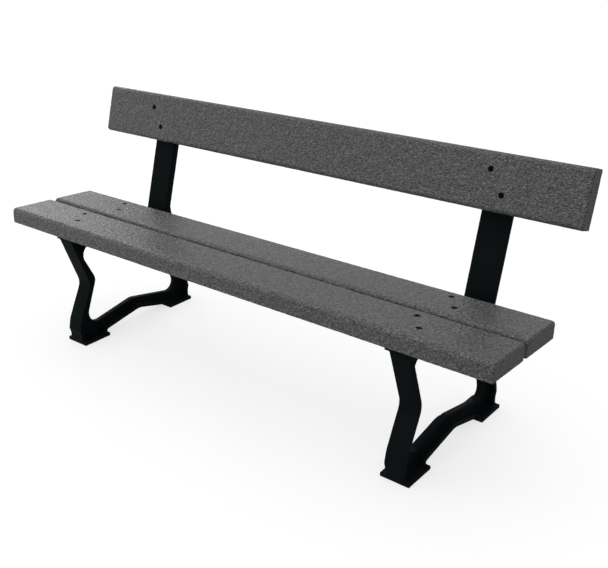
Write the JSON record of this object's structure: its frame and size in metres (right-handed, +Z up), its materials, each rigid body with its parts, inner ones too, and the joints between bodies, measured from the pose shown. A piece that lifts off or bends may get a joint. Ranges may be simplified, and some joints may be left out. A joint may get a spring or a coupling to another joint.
{
  "type": "park bench",
  "caption": "Outdoor bench with a board seat and a leaning board backrest, bolted to black cast-iron legs of flanged section that stand on flat foot plates.",
  "frame": {"origin": "on the ground, in the middle of the bench's footprint", "axes": "+X along the boards, towards the sitter's left hand; -Y towards the front, where people sit; +Z up"},
  "size_m": [1.8, 0.552, 0.7744],
  "materials": {
    "board_plastic": "dark grey recycled plastic, fine mottled grain, worn satin sheen",
    "cast_iron": "satin black coating over cast iron",
    "black_bolt": "black oxide, satin",
    "zinc_steel": "bright zinc plate"
  },
  "bodies": {
    "root": {"seat_board_front": "board_plastic", "seat_board_rear": "board_plastic", "backrest_board": "board_plastic", "leg_left": "cast_iron", "leg_right": "cast_iron", "bolts_front_left": "black_bolt", "washers_front_left": "zinc_steel", "nuts_front_left": "zinc_steel", "bolts_front_right": "black_bolt", "washers_front_right": "zinc_steel", "nuts_front_right": "zinc_steel", "bolts_rear_left": "black_bolt", "washers_rear_left": "zinc_steel", "nuts_rear_left": "zinc_steel", "bolts_rear_right": "black_bolt", "washers_rear_right": "zinc_steel", "nuts_rear_right": "zinc_steel", "bolts_back_left": "black_bolt", "washers_back_left": "zinc_steel", "nuts_back_left": "zinc_steel", "bolts_back_right": "black_bolt", "washers_back_right": "zinc_steel", "nuts_back_right": "zinc_steel"}
  },
  "joints": []
}
